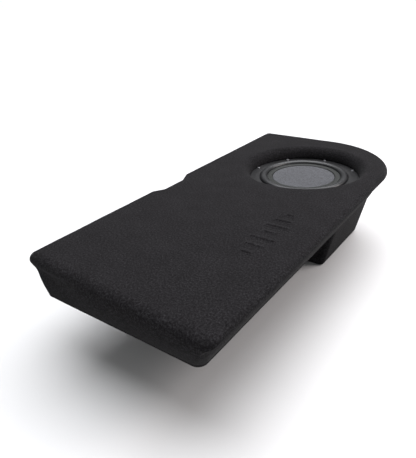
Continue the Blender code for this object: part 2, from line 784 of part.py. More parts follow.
def power_terminal():
    """Three-way screw terminal for battery, ground and remote wires."""
    x, z = TERMINAL

    def holes(shape):
        for offset in (-0.0155, 0.0, 0.0155):
            middle = x + offset
            add_box(shape, (middle - 0.0035, 0.327, z - 0.0045), (middle + 0.0035, 0.345, z + 0.0025))
    low = (x - 0.024, BODY_Y, z - 0.008)
    high = (x + 0.024, 0.340, z + 0.008)
    body = box("power_terminal", low, high, PLASTIC_LOOK)
    return cut(body, add_object("terminal_hollows", mesh_from("terminal_hollows", holes)))


def fuse_holder():
    x, z = FUSE
    body = box("fuse_holder", (x - 0.012, BODY_Y, z - 0.008), (x + 0.012, 0.331, z + 0.008), PLASTIC_LOOK)
    return cut(body, box("fuse_seat", (x - 0.010, 0.322, z - 0.003), (x + 0.010, 0.340, z + 0.003)))


def blade_fuse():
    x, z = FUSE
    look = ((0.55, 0.20, 0.02), 0.25, 0.0)
    return box("blade_fuse", (x - 0.0096, 0.3223, z - 0.0026), (x + 0.0096, 0.337, z + 0.0026), look)


def status_led():
    """Domed lamp, with a collar behind the plate."""
    y1 = PLATE_Y[1]
    profile = [
        (0.0, y1 + 0.0018), (0.0009, y1 + 0.0015), (0.0015, y1 + 0.0004), (0.0015, BODY_END_Y),
        (0.0021, BODY_END_Y), (0.0021, BODY_Y), (0.0, BODY_Y),
    ]
    look = ((0.05, 0.15, 0.7), 0.2, 0.0)
    return turned("status_led", profile, look, (LED[0], 0.0, LED[1]), "Y", steps=12, closed=False)


# ---------------------------------------------------------------- assembly

def build_enclosure():
    carpet_top()
    carpet_slab()
    carpet_pod()
    top_panel()
    slab_shell()
    pod_shell()
    mount_ring()
    brace("brace_near", -0.170)
    brace("brace_far", 0.030)
    wadding()


def build_driver():
    for make in (basket, gasket_ring, surround, cone, centre_disc, coil_former, voice_coil, spider,
                 top_plate, magnet, yoke, driver_terminal):
        make()
    for i, centre in enumerate(screw_centres()):
        driver_screw(f"driver_screw_{i + 1}", centre)
    speaker_lead("speaker_lead_red", 1, (0.5, 0.02, 0.02))
    speaker_lead("speaker_lead_black", -1, (0.02, 0.02, 0.02))


def build_amplifier():
    for make in (amp_plate, heat_sink, circuit_board, toroid, phase_switch, switch_body, input_socket,
                 power_terminal, fuse_holder, blade_fuse, status_led):
        make()
    board_part("capacitor_left", 0.009, 0.028, (0.060, 0.045), (0.02, 0.03, 0.10))
    board_part("capacitor_right", 0.009, 0.028, (0.085, 0.045), (0.02, 0.03, 0.10))
    for name, x in KNOBS.items():
        knob(name, x)
        potentiometer(name.replace("knob", "potentiometer"), x)
    for name, centre in JACKS.items():
        rca_jack(name, centre)
    for i, centre in enumerate(PLATE_SCREWS):
        plate_screw(f"plate_screw_{i + 1}", centre)


clear_scene()
PARTS = new_collection("powered_car_subwoofer")
CUTTERS = new_collection("cutters")
build_enclosure()
build_driver()
build_amplifier()
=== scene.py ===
"""Looks of the powered car subwoofer: carpet, driver and amplifier, with a studio and a camera.

Metres, +Z up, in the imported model's own frame: +Y runs along the enclosure towards the driver.
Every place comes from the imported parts' boxes; the sizes below are those that a box can't give.
"""
import json
import math

import bmesh
import bpy
from mathutils import Matrix, Vector, noise


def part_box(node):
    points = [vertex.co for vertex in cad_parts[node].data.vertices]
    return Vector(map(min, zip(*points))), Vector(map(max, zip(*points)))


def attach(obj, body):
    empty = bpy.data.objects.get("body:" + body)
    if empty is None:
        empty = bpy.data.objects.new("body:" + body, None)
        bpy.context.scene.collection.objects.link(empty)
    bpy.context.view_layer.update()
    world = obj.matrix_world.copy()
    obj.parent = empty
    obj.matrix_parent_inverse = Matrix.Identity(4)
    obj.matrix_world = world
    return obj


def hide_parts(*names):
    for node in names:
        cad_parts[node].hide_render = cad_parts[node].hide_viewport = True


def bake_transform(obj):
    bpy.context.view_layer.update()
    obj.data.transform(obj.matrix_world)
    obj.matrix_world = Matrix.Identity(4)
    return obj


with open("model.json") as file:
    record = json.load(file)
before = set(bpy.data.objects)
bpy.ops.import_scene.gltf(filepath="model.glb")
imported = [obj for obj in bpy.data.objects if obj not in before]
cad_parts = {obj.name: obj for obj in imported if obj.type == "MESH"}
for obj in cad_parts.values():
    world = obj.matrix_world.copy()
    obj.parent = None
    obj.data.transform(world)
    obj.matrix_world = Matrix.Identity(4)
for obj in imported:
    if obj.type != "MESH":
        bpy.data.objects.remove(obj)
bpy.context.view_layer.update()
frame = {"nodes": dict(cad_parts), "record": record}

# ---------------------------------------------------------------- places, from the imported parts

LID_LOW, LID_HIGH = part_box("carpet_top")
POD_LOW, POD_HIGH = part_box("carpet_pod")
BASKET_LOW, BASKET_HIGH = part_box("driver_basket")
DISC_LOW, DISC_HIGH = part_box("centre_disc")
CONE_LOW, CONE_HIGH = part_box("cone")
ROLL_LOW, ROLL_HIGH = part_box("surround")
PLATE_LOW, PLATE_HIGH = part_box("amp_plate")

MARK_RISE = 0.002
WIDTH = LID_HIGH.x - LID_LOW.x
NEAR = LID_LOW.y
FAR = LID_HIGH.y
HEIGHT = LID_HIGH.z - MARK_RISE
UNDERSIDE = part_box("carpet_slab")[0].z
CARPET = 0.003
DRAWN_CARPET = CARPET - 0.0006      # the drawn skins are a little thinner than the solids
DRAWN_SHELL = 0.0044
UNDER_CARPET = CARPET + 0.0004      # how deep the shell lies inside the carpet's face

DRIVER = Vector(((BASKET_LOW.x + BASKET_HIGH.x) / 2, (BASKET_LOW.y + BASKET_HIGH.y) / 2, 0.0))
FLANGE_TOP = BASKET_HIGH.z
FLANGE_RADIUS = (BASKET_HIGH.x - BASKET_LOW.x) / 2
DISC_RADIUS = (DISC_HIGH.x - DISC_LOW.x) / 2
CONE_RADIUS = (CONE_HIGH.x - CONE_LOW.x) / 2
RUBBER_RADIUS = (ROLL_HIGH.x - ROLL_LOW.x) / 2

# Enclosure
NEAR_SKEW = 0.021           # the near edge's right end stands out by this much
FAR_RADIUS = 0.211          # big round corner at the far right
NOTCH_Y = (-0.088, -0.064, 0.002, 0.036)    # start, floor, floor and end of the side notch
NOTCH_DEPTH = 0.016
LIP_ROUND = 0.010
NEAR_ROUND = 0.014          # the near lip's rounding, downwards
NEAR_ROUND_IN = 0.019       # and inwards
LIP_LEVELS = 9              # rows of points in the lip's rounding
SIDE_SLOPE = 0.037          # how far the slab's walls lean in by its underside
NEAR_FOOT = 0.0175          # near edge of the slab's underside, behind the lid's nearest point
NEAR_RIGHT_FOOT = 0.004     # the underside's near-right corner stands out by this much
FOOT_ROUND = 0.008
HOLLOW = 0.0088             # deepest part of the hollow under the lip
HOLLOW_DROP = 0.015         # how far below the lip's nose that part lies
NEAR_HOLLOW_SHARE = 0.35    # share of it that the near wall's left end takes
BOWL_ACROSS = 0.0235        # half axes of the bowl's round upper edge
BOWL_DOWN = 0.0282
BOWL_FLOOR_RADIUS = 0.1335
BOWL_EDGE_RADIUS = BOWL_FLOOR_RADIUS + BOWL_ACROSS
OPENING_HALF = (0.1312, 0.0962)     # opening in the slab's floor, above the pod
OPENING_Y = 0.217
OPENING_SPOT = (0.040, 0.140)       # spot in it that the floor's lines run towards

# Driver
ROLL_CENTRE = 0.0986        # radius of the surround's crest
ROLL_RADIUS = 0.0088        # half axes of its roll, across and up
ROLL_RISE = 0.0072
RUBBER = 0.0012
RUBBER_INNER = 0.0800
FLANGE_STEP_RADIUS = 0.1086

AXIS = 0.00001              # radius of the points that close a turned shape on its axis
WELD = 0.000001             # points closer than this are one point
LATHE_STEPS = 160
SOFT_EDGE = math.radians(60)    # folds of carpet sharper than this are drawn as edges

WALL_SPANS = (30, 60, 10, 30, 30, 4, 6, 4)      # cuts along the slab's wall, where the pod meets it
FIRST_NOTCH_CORNER = 4
TIGHT = 0.010               # the shell's notch corners are no rounder than this

# Corners of the lid, as (x, y, radius, steps), from the near left; the last four are the notch's.
LID = (
    (-WIDTH / 2, NEAR + NEAR_SKEW, 0.0105, 8),
    (WIDTH / 2, NEAR, 0.019, 10),
    (WIDTH / 2, FAR, FAR_RADIUS, 56),
    (-WIDTH / 2, FAR, 0.013, 8),
    (-WIDTH / 2, NOTCH_Y[3], 0.012, 4),
    (-WIDTH / 2 + NOTCH_DEPTH, NOTCH_Y[2], 0.008, 4),
    (-WIDTH / 2 + NOTCH_DEPTH, NOTCH_Y[1], 0.008, 4),
    (-WIDTH / 2, NOTCH_Y[0], 0.012, 4),
)


# ---------------------------------------------------------------- material nodes

class Look:
    """A node material in the making: each method adds nodes and gives the socket they end in."""

    def __init__(self, name, colour, roughness, metallic=0.0):
        self.material = bpy.data.materials.new(name)
        self.material.use_nodes = True
        self.nodes = self.material.node_tree.nodes
        self.links = self.material.node_tree.links
        self.shader = self.nodes["Principled BSDF"]
        self.shader.inputs["Base Color"].default_value = (*colour, 1.0)
        self.shader.inputs["Roughness"].default_value = roughness
        self.shader.inputs["Metallic"].default_value = metallic
        self.place = self.nodes.new("ShaderNodeTexCoord").outputs["Object"]

    def set(self, **values):
        for name, value in values.items():
            self.shader.inputs[name.replace("_", " ")].default_value = value
        return self

    def mapped(self, scale, turn=0.0):
        node = self.nodes.new("ShaderNodeMapping")
        node.inputs["Scale"].default_value = scale
        node.inputs["Rotation"].default_value = (0.0, 0.0, turn)
        self.links.new(self.place, node.inputs["Vector"])
        return node.outputs["Vector"]

    def noise(self, scale, detail=2.0, rough=0.5, vector=None):
        node = self.nodes.new("ShaderNodeTexNoise")
        node.inputs["Scale"].default_value = scale
        node.inputs["Detail"].default_value = detail
        node.inputs["Roughness"].default_value = rough
        self.links.new(vector or self.place, node.inputs["Vector"])
        return node.outputs["Fac"]

    def bands(self, pitch, direction, distortion=0.0):
        node = self.nodes.new("ShaderNodeTexWave")
        node.bands_direction = direction
        node.inputs["Scale"].default_value = math.pi / 10 / pitch
        node.inputs["Distortion"].default_value = distortion
        self.links.new(self.place, node.inputs["Vector"])
        return node.outputs["Fac"]

    def math(self, operation, first, second):
        node = self.nodes.new("ShaderNodeMath")
        node.operation = operation
        for socket, value in zip(node.inputs, (first, second)):
            if isinstance(value, float):
                socket.default_value = value
            else:
                self.links.new(value, socket)
        return node.outputs["Value"]

    def spread(self, source, low, high, to_low, to_high):
        node = self.nodes.new("ShaderNodeMapRange")
        for name, value in (("From Min", low), ("From Max", high), ("To Min", to_low), ("To Max", to_high)):
            node.inputs[name].default_value = value
        self.links.new(source, node.inputs["Value"])
        return node.outputs["Result"]

    def ramp(self, source, stops):
        node = self.nodes.new("ShaderNodeValToRGB")
        band = node.color_ramp
        while len(band.elements) < len(stops):
            band.elements.new(0.5)
        for element, (position, colour) in zip(band.elements, stops):
            element.position = position
            element.color = (*colour, 1.0)
        self.links.new(source, node.inputs["Fac"])
        return node.outputs["Color"]

    def colour(self, source, stops):
        self.links.new(self.ramp(source, stops), self.shader.inputs["Base Color"])
        return self

    def roughness(self, source, low, high):
        self.links.new(self.spread(source, 0.3, 0.7, low, high), self.shader.inputs["Roughness"])
        return self

    def bump(self, source, strength, distance):
        node = self.nodes.new("ShaderNodeBump")
        node.inputs["Strength"].default_value = strength
        node.inputs["Distance"].default_value = distance
        self.links.new(source, node.inputs["Height"])
        self.links.new(node.outputs["Normal"], self.shader.inputs["Normal"])
        return self


def scaled(colour, factor):
    return tuple(part * factor for part in colour)


def grained(name, colour, roughness, metallic=0.0, grain=900.0, contrast=0.25, depth=0.0001, strength=0.3):
    """A moulded, painted or cast surface: fine grain, soft blotches and uneven gloss."""
    look = Look(name, colour, roughness, metallic)
    fine = look.noise(grain, 3.0, 0.6)
    blotch = look.noise(28.0, 3.0, 0.55)
    mixed = look.math("ADD", look.math("MULTIPLY", fine, 0.5), look.math("MULTIPLY", blotch, 0.5))
    look.colour(mixed, ((0.3, scaled(colour, 1 - contrast)), (0.7, scaled(colour, 1 + contrast))))
    look.roughness(blotch, max(roughness - 0.08, 0.05), min(roughness + 0.08, 1.0))
    return look.bump(fine, strength, depth)


def carpet_material():
    """Needle-punched black trim carpet: short matted fibres with a fine grey speckle."""
    look = Look("carpet_fibre", (0.034, 0.034, 0.036), 0.95)
    along = look.noise(1.0, 2.0, 0.7, look.mapped((420.0, 1300.0, 700.0), 0.5))
    across = look.noise(1.0, 2.0, 0.7, look.mapped((1300.0, 420.0, 700.0), 0.2))
    fibres = look.math("MULTIPLY", look.math("ADD", along, across), 0.5)
    tufts = look.noise(300.0, 4.0, 0.9)
    wear = look.noise(24.0, 2.0, 0.5)
    mixed = look.math("ADD", look.math("MULTIPLY", fibres, 0.25), look.math("MULTIPLY", tufts, 0.70))
    mixed = look.math("ADD", mixed, look.math("MULTIPLY", wear, 0.05))
    look.colour(mixed, (
        (0.40, (0.0024, 0.0022, 0.0024)),
        (0.50, (0.0084, 0.0080, 0.0087)),
        (0.60, (0.0235, 0.0226, 0.0245)),
    ))
    look.set(Sheen_Weight=0.025, Sheen_Roughness=0.4, Specular_IOR_Level=0.06)
    height = look.math("ADD", look.math("MULTIPLY", fibres, 0.5), look.math("MULTIPLY", tufts, 0.5))
    return look.bump(height, 0.45, 0.0007)


def woven(name, dark, light, pitch, roughness, depth, **values):
    """A plain weave: threads along X and Y pass over each other in turn."""
    look = Look(name, light, roughness)
    checks = look.nodes.new("ShaderNodeTexChecker")
    checks.inputs["Scale"].default_value = 1 / pitch
    look.links.new(look.place, checks.inputs["Vector"])
    over = checks.outputs["Fac"]
    under = look.math("SUBTRACT", 1.0, over)
    warp = look.math("MULTIPLY", look.bands(pitch, "X"), over)
    weft = look.math("MULTIPLY", look.bands(pitch, "Y"), under)
    cloth = look.math("ADD", warp, weft)
    speckle = look.noise(250.0, 3.0, 0.75)
    mixed = look.math("ADD", look.math("MULTIPLY", cloth, 0.15), look.math("MULTIPLY", speckle, 0.85))
    look.colour(mixed, ((0.38, dark), (0.58, light)))
    look.roughness(speckle, roughness - 0.08, roughness + 0.08)
    look.set(**values)
    return look.bump(cloth, 0.5, depth)


def brushed(name, colour, roughness, metallic, direction):
    """Metal with fine lines along one axis."""
    look = Look(name, colour, roughness, metallic)
    lines = look.noise(1.0, 3.0, 0.6, look.mapped(direction))
    blotch = look.noise(20.0, 2.0, 0.5)
    look.colour(lines, ((0.3, scaled(colour, 0.75)), (0.7, scaled(colour, 1.3))))
    look.roughness(blotch, roughness - 0.06, roughness + 0.08)
    return look.bump(lines, 0.25, 0.00005)


def wound(name, colour, pitch):
    """Varnished wire, wound in close turns along Z."""
    look = Look(name, colour, 0.3, 0.9)
    turns = look.bands(pitch, "Z")
    look.colour(look.noise(300.0, 2.0), ((0.3, scaled(colour, 0.7)), (0.7, scaled(colour, 1.25))))
    return look.bump(turns, 0.8, pitch / 3)


def board_traces():
    """Green solder mask over raised copper tracks."""
    look = Look("solder_mask", (0.02, 0.13, 0.05), 0.35)
    tracks = look.bands(0.004, "X", 3.0)
    raised = look.spread(tracks, 0.62, 0.70, 0.0, 1.0)
    look.colour(raised, ((0.2, (0.012, 0.085, 0.035)), (0.8, (0.03, 0.19, 0.07))))
    look.set(Coat_Weight=0.5)
    return look.bump(raised, 0.4, 0.00006)


def sleeve():
    """Shrink sleeve with a paler stripe down one side."""
    look = Look("capacitor_sleeve", (0.015, 0.02, 0.07), 0.3)
    stripe = look.spread(look.bands(0.018, "Z"), 0.86, 0.90, 0.0, 1.0)
    look.colour(stripe, ((0.2, (0.012, 0.016, 0.06)), (0.8, (0.30, 0.32, 0.36))))
    return look.bump(look.noise(500.0, 2.0), 0.2, 0.0001)


def make_looks():
    """One material for each of the record's slots."""
    looks = {
        "carpet": carpet_material(),
        "shell": grained("moulded_shell", (0.05, 0.05, 0.05), 0.6, grain=500.0, depth=0.0003),
        "board": grained("fibre_board", (0.40, 0.28, 0.16), 0.8, grain=700.0, contrast=0.35, depth=0.0003),
        "wadding": grained(
            "polyester_fill", (0.72, 0.71, 0.68), 0.95, grain=260.0, depth=0.003, strength=0.9,
        ),
        "frame": grained("frame_paint", (0.0115, 0.0115, 0.0122), 0.5, grain=1400.0, depth=0.00008),
        "rubber": grained("rubber_satin", (0.0110, 0.0114, 0.0124), 0.36, grain=1600.0, depth=0.00004),
        "cone": grained("cone_composite", (0.0175, 0.0190, 0.0178), 0.5, grain=1100.0, depth=0.00010),
        "disc": woven("disc_weave", (0.019, 0.0195, 0.0215), (0.078, 0.080, 0.089), 0.0017, 0.55, 0.00022),
        "former": grained("former_film", (0.50, 0.33, 0.12), 0.35, grain=600.0),
        "copper": wound("wire_winding", (0.60, 0.25, 0.10), 0.0004),
        "spider": woven("spider_cloth", (0.36, 0.26, 0.10), (0.66, 0.52, 0.26), 0.0012, 0.8, 0.0003),
        "zinc": brushed("zinc_plate", (0.58, 0.58, 0.60), 0.32, 1.0, (900.0, 60.0, 900.0)),
        "black_screw": grained("black_zinc", (0.085, 0.085, 0.09), 0.34, 0.9, grain=1800.0, depth=0.00005),
        "ferrite": grained("sintered_ferrite", (0.07, 0.07, 0.075), 0.6, grain=700.0, depth=0.0003),
        "plastic": grained("moulded_plastic", (0.026, 0.026, 0.027), 0.42, grain=1500.0, depth=0.0001),
        "aluminium": brushed("anodised_plate", (0.055, 0.055, 0.060), 0.38, 0.85, (40.0, 900.0, 1400.0)),
        "circuit_board": board_traces(),
        "capacitor": sleeve(),
        "gold": brushed("gold_flash", (0.78, 0.55, 0.18), 0.24, 1.0, (700.0, 90.0, 700.0)),
        "fuse": grained("amber_plastic", (0.62, 0.23, 0.02), 0.2, grain=400.0, contrast=0.15, depth=0.00004),
        "led": grained("blue_dome", (0.04, 0.14, 0.62), 0.12, grain=400.0, contrast=0.2, depth=0.00002),
        "lead_red": grained("lead_red_skin", (0.45, 0.02, 0.02), 0.38, grain=900.0, depth=0.00005),
        "lead_black": grained("lead_black_skin", (0.02, 0.02, 0.02), 0.38, grain=900.0, depth=0.00005),
        "white_ring": grained(
            "jack_white", (0.72, 0.72, 0.70), 0.35, grain=900.0, contrast=0.1, depth=0.00004,
        ),
        "red_ring": grained("jack_red", (0.50, 0.02, 0.02), 0.35, grain=900.0, contrast=0.2, depth=0.00004),
        "print": grained("pale_print", (0.55, 0.55, 0.56), 0.5, grain=900.0, contrast=0.15, depth=0.00003),
    }
    looks["disc"].set(Specular_IOR_Level=0.2)
    looks["frame"].set(Specular_IOR_Level=0.15)
    looks["rubber"].set(Specular_IOR_Level=0.30)
    looks["cone"].set(Specular_IOR_Level=0.16)
    looks["fuse"].set(Transmission_Weight=0.35)
    looks["led"].set(Transmission_Weight=0.4, Coat_Weight=0.5)
    return {name: look.material for name, look in looks.items()}


LOOKS = make_looks()


# ---------------------------------------------------------------- pieces

def piece(name, mesh, look, body="enclosure", nodes=()):
    """A visible piece that rides on a body, in a look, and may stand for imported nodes."""
    made = bpy.data.objects.new(name, mesh)
    bpy.context.scene.collection.objects.link(made)
    mesh.materials.append(LOOKS[look])
    if body:
        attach(made, body)
    if nodes:
        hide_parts(*nodes)
    return made


def mesh_of(name, shape, sharp=math.radians(40)):
    bmesh.ops.recalc_face_normals(shape, faces=shape.faces)
    mesh = bpy.data.meshes.new(name)
    shape.to_mesh(mesh)
    shape.free()
    mesh.shade_smooth()
    mesh.set_sharp_from_angle(angle=sharp)
    return mesh


def skin(shape, rings, closed=False):
    """Quads between rings of points with equal counts; closed joins the last ring to the first."""
    made = [[shape.verts.new(point) for point in ring] for ring in rings]
    pairs = list(zip(made, made[1:]))
    if closed:
        pairs.append((made[-1], made[0]))
    for low, high in pairs:
        for i in range(len(low)):
            j = (i + 1) % len(low)
            shape.faces.new((low[i], low[j], high[j], high[i]))
    return made


def lathe(name, profile, place, axis="Z", closed=True, steps=LATHE_STEPS, wave=None):
    """A turned solid about an axis through place. Open profiles start and end on the axis."""
    shape = bmesh.new()
    rings = []
    for radius, height in profile:
        ring = []
        for i in range(steps):
            angle = 2 * math.pi * i / steps
            reach = radius * (wave(angle, height) if wave else 1.0)
            across, up = reach * math.cos(angle), reach * math.sin(angle)
            offset = (across, up, height) if axis == "Z" else (across, height, up)
            ring.append(Vector(place) + Vector(offset))
        rings.append(ring)
    made = skin(shape, rings, closed)
    if not closed:
        for ring in (made[0], made[-1]):
            shape.faces.new(ring)
    bmesh.ops.remove_doubles(shape, verts=shape.verts, dist=WELD)
    return mesh_of(name, shape)


def arc(centre, radius, start, end, steps, rise=None):
    """Profile points on an arc, angles in degrees; its height may differ from its radius."""
    points = []
    for k in range(steps + 1):
        angle = math.radians(start + (end - start) * k / steps)
        points.append((centre[0] + radius * math.cos(angle), centre[1] + (rise or radius) * math.sin(angle)))
    return points


# ---------------------------------------------------------------- outlines

def unit(from_point, to_point):
    dx = to_point[0] - from_point[0]
    dy = to_point[1] - from_point[1]
    length = math.hypot(dx, dy)
    return dx / length, dy / length


def inset(corners, distance, near=None):
    """Move every side of an outline inwards; its first side, the near one, may move by its own."""
    count = len(corners)
    moved = []
    for i, corner in enumerate(corners):
        before = unit(corners[i - 1], corner)
        after = unit(corner, corners[(i + 1) % count])
        step_before = near if near is not None and i == 1 else distance
        step_after = near if near is not None and i == 0 else distance
        turn = before[0] * after[1] - before[1] * after[0]
        x = corner[0] + (after[0] * step_before - before[0] * step_after) / turn
        y = corner[1] + (after[1] * step_before - before[1] * step_after) / turn
        radius = corner[2] - distance if turn > 0 else corner[2] + distance
        moved.append((x, y, max(radius, 0.0015), corner[3]))
    return moved


def rounded(corners, spans):
    """Points of an outline: an arc at each corner, and each side cut into its number of spans."""
    count = len(corners)
    arcs = []
    for i, (x, y, radius, steps) in enumerate(corners):
        back = unit((x, y), corners[i - 1])
        ahead = unit((x, y), corners[(i + 1) % count])
        half = math.acos(max(-1.0, min(1.0, back[0] * ahead[0] + back[1] * ahead[1]))) / 2
        reach = radius / math.tan(half)
        middle = (back[0] + ahead[0], back[1] + ahead[1])
        scale = radius / math.sin(half) / math.hypot(*middle)
        centre = (x + middle[0] * scale, y + middle[1] * scale)
        start = math.atan2(y + back[1] * reach - centre[1], x + back[0] * reach - centre[0])
        end = math.atan2(y + ahead[1] * reach - centre[1], x + ahead[0] * reach - centre[0])
        sweep = (end - start + math.pi) % (2 * math.pi) - math.pi
        turns = [start + sweep * k / steps for k in range(steps + 1)]
        arcs.append([(centre[0] + radius * math.cos(a), centre[1] + radius * math.sin(a)) for a in turns])
    points = []
    for i, stretch in enumerate(arcs):
        points += stretch
        last = stretch[-1]
        ahead = arcs[(i + 1) % count][0]
        for k in range(1, spans[i]):
            share = k / spans[i]
            points.append((last[0] + (ahead[0] - last[0]) * share, last[1] + (ahead[1] - last[1]) * share))
    return points


def span_counts(corners, step):
    counts = []
    for i, corner in enumerate(corners):
        ahead = corners[(i + 1) % len(corners)]
        length = math.hypot(ahead[0] - corner[0], ahead[1] - corner[1])
        length -= corner[2] + ahead[2]
        counts.append(max(1, round(length / step)))
    return counts


def blended(first, second, share):
    """Corners part of the way from one outline to another."""
    return [tuple(a + (b - a) * share for a, b in zip(p, q))[:3] + (p[3],) for p, q in zip(first, second)]


# ---------------------------------------------------------------- carpet

def ripple(point, size):
    """How far laid carpet wanders from its board: broad soft waves and a little fine lumpiness."""
    broad = noise.noise(point * 14.0)
    fine = noise.noise(point * 95.0 + Vector((7.0, 3.0, 1.0)))
    return size * (0.7 * broad + 0.3 * fine)


def slab_foot():
    near = NEAR + NEAR_FOOT
    foot = inset(LID, SIDE_SLOPE)
    foot[0] = (foot[0][0], near, 0.016, LID[0][3])
    foot[1] = (foot[1][0] + NEAR_RIGHT_FOOT, near, 0.018, LID[1][3])
    return foot


def hollow(drop):
    """How deep the soft hollow under the lip is, at a drop below the lip's nose."""
    share = drop / HOLLOW_DROP
    return HOLLOW * share ** 3 * math.exp(3 * (1 - share))


def wrap_levels():
    """Rows (outline, height, near side's height, pull) from the lid's flat down to the underside.

    The pull is how much further in the near side lies at its left end, where the hollow reaches it.
    """
    levels = []
    nose = HEIGHT - LIP_ROUND
    near_nose = HEIGHT - NEAR_ROUND
    for k in range(LIP_LEVELS):
        angle = math.pi / 2 * (1 - k / (LIP_LEVELS - 1))
        inwards = 1 - math.cos(angle)
        plan = inset(LID, LIP_ROUND * inwards, near=NEAR_ROUND_IN * inwards)
        up = math.sin(angle)
        levels.append((plan, nose + LIP_ROUND * up, near_nose + NEAR_ROUND * up, 0.0))
    foot = slab_foot()
    wall_end = UNDERSIDE + FOOT_ROUND
    steps = 22
    for k in range(1, steps + 1):
        share = k / steps
        drop = (nose - wall_end) * share
        bulge = NEAR_FOOT * (share ** 1.6 - share)
        plan = inset(blended(LID, foot, share), hollow(drop), near=bulge)
        near_z = near_nose + (wall_end - near_nose) * share
        levels.append((plan, nose - drop, near_z, NEAR_HOLLOW_SHARE * hollow(drop) - bulge))
    for k in range(1, 7):
        angle = math.pi / 2 * k / 6
        z = UNDERSIDE + FOOT_ROUND * (1 - math.sin(angle))
        levels.append((inset(foot, FOOT_ROUND * (1 - math.cos(angle))), z, z, 0.0))
    return levels


def level_ring(level, spans, shares, depth=0.0):
    """Points of one level of the walls, at a depth inside the carpet's face."""
    plan, z, near_z, pull = level
    if depth:
        plan = inset(plan, depth)
        notch = [(x, y, min(radius, TIGHT), steps) for x, y, radius, steps in plan[FIRST_NOTCH_CORNER:]]
        plan = plan[:FIRST_NOTCH_CORNER] + notch
    points = rounded(plan, spans)
    ring = []
    for (x, y), share in zip(points, shares):
        near_line = NEAR + NEAR_SKEW * (WIDTH / 2 - x) / WIDTH
        left = smooth((-0.05 - x) / 0.13)
        close = smooth(1 - (y - near_line - NEAR_FOOT) / 0.06)
        ring.append(Vector((x, y + pull * left * close, z + (near_z - z) * share)))
    return ring


def smooth(share):
    """A soft step from 0 to 1."""
    share = max(0.0, min(1.0, share))
    return share * share * (3 - 2 * share)


def near_shares(spans):
    """For each point of the wrap's outline, 1 on the near side, 0 elsewhere, and between at its corners."""
    flat = rounded(LID, spans)
    shares = []
    for i, (x, y) in enumerate(flat):
        ahead = flat[(i + 1) % len(flat)]
        behind = flat[i - 1]
        along = unit(behind, ahead)
        facing = max(0.0, along[0]) if y < NEAR + 0.06 else 0.0
        shares.append(smooth(facing))
    return shares


def opening_point(point):
    """Where the way from a spot inside the opening to a point crosses the opening's edge."""
    start_x, start_y = OPENING_SPOT
    x, y = point[0] - start_x, point[1] - start_y
    side = OPENING_HALF[0] - start_x if x > 0 else OPENING_HALF[0] + start_x
    end = OPENING_HALF[1] + OPENING_Y - start_y if y > 0 else OPENING_HALF[1] - OPENING_Y + start_y
    share = min(side / max(abs(x), 1e-9), end / max(abs(y), 1e-9))
    return Vector((start_x + x * share, start_y + y * share, UNDERSIDE))


def carpet_wrap():
    """One length of carpet: down the bowl, over the lid, round its lip and under the slab."""
    levels = wrap_levels()
    spans = span_counts(LID, 0.006)
    outline = rounded(levels[0][0], spans)
    turns = [Vector((x - DRIVER.x, y - DRIVER.y, 0.0)).normalized() for x, y in outline]
    bowl = []
    for k in range(17):
        angle = math.pi / 2 * k / 16
        radius = BOWL_EDGE_RADIUS - BOWL_ACROSS * math.cos(angle)
        bowl.append((radius, HEIGHT - BOWL_DOWN + BOWL_DOWN * math.sin(angle)))
    rings = []
    for radius, z in bowl:
        rings.append([DRIVER + turn * radius + Vector((0.0, 0.0, z)) for turn in turns])
    top_steps = 44
    for k in range(1, top_steps):
        share = k / top_steps
        ring = []
        for turn, (x, y) in zip(turns, outline):
            start = DRIVER + turn * BOWL_EDGE_RADIUS + Vector((0.0, 0.0, HEIGHT))
            ring.append(start.lerp(Vector((x, y, HEIGHT)), share))
        rings.append(ring)
    shares = near_shares(spans)
    for level in levels:
        rings.append(level_ring(level, spans, shares))
    under = rings[-1]
    for k in range(1, 13):
        rings.append([point.lerp(opening_point(point), k / 12) for point in under])
    shape = bmesh.new()
    skin(shape, rings)
    bmesh.ops.recalc_face_normals(shape, faces=shape.faces)
    shape.normal_update()
    top = max(shape.faces, key=lambda face: face.calc_center_median().z)
    outwards = 1.0 if top.normal.z > 0 else -1.0
    for vert in shape.verts:
        vert.co += vert.normal * outwards * ripple(vert.co, 0.00035)
    mesh = mesh_of("carpet_wrap", shape, SOFT_EDGE)
    made = piece("carpet_wrap", mesh, "carpet", nodes=("carpet_top", "carpet_slab"))
    thicken(made, DRAWN_CARPET)


def shell_skin():
    """Moulded shell under the carpet: it follows the walls' hollow and is open above and to the pod."""
    spans = span_counts(LID, 0.012)
    rings = []
    shares = near_shares(spans)
    for level in wrap_levels()[LIP_LEVELS:]:
        if level[1] < HEIGHT - CARPET - 0.0112:
            lift = Vector((0.0, 0.0, UNDER_CARPET * max(0.0, 1 - (level[1] - UNDERSIDE) / 0.02)))
            rings.append([point + lift for point in level_ring(level, spans, shares, UNDER_CARPET)])
    under = rings[-1]
    for k in range(1, 9):
        ring = []
        for point in under:
            edge = opening_point(point)
            edge.z = point.z
            ring.append(point.lerp(edge, k / 8))
        rings.append(ring)
    shape = bmesh.new()
    skin(shape, rings)
    mesh = mesh_of("shell_skin", shape, math.radians(50))
    made = piece("shell_skin", mesh, "shell", nodes=("slab_shell",))
    thicken(made, DRAWN_SHELL)


def thicken(made, depth):
    """Give an open skin its thickness, on the inner side."""
    step = made.modifiers.new("thickness", "SOLIDIFY")
    step.thickness = depth
    step.offset = -1.0


def within(x, y, points):
    """Whether a point lies inside a closed outline."""
    inside = False
    for i, (x1, y1) in enumerate(points):
        x0, y0 = points[i - 1]
        if (y0 > y) != (y1 > y) and x < x0 + (x1 - x0) * (y - y0) / (y1 - y0):
            inside = not inside
    return inside


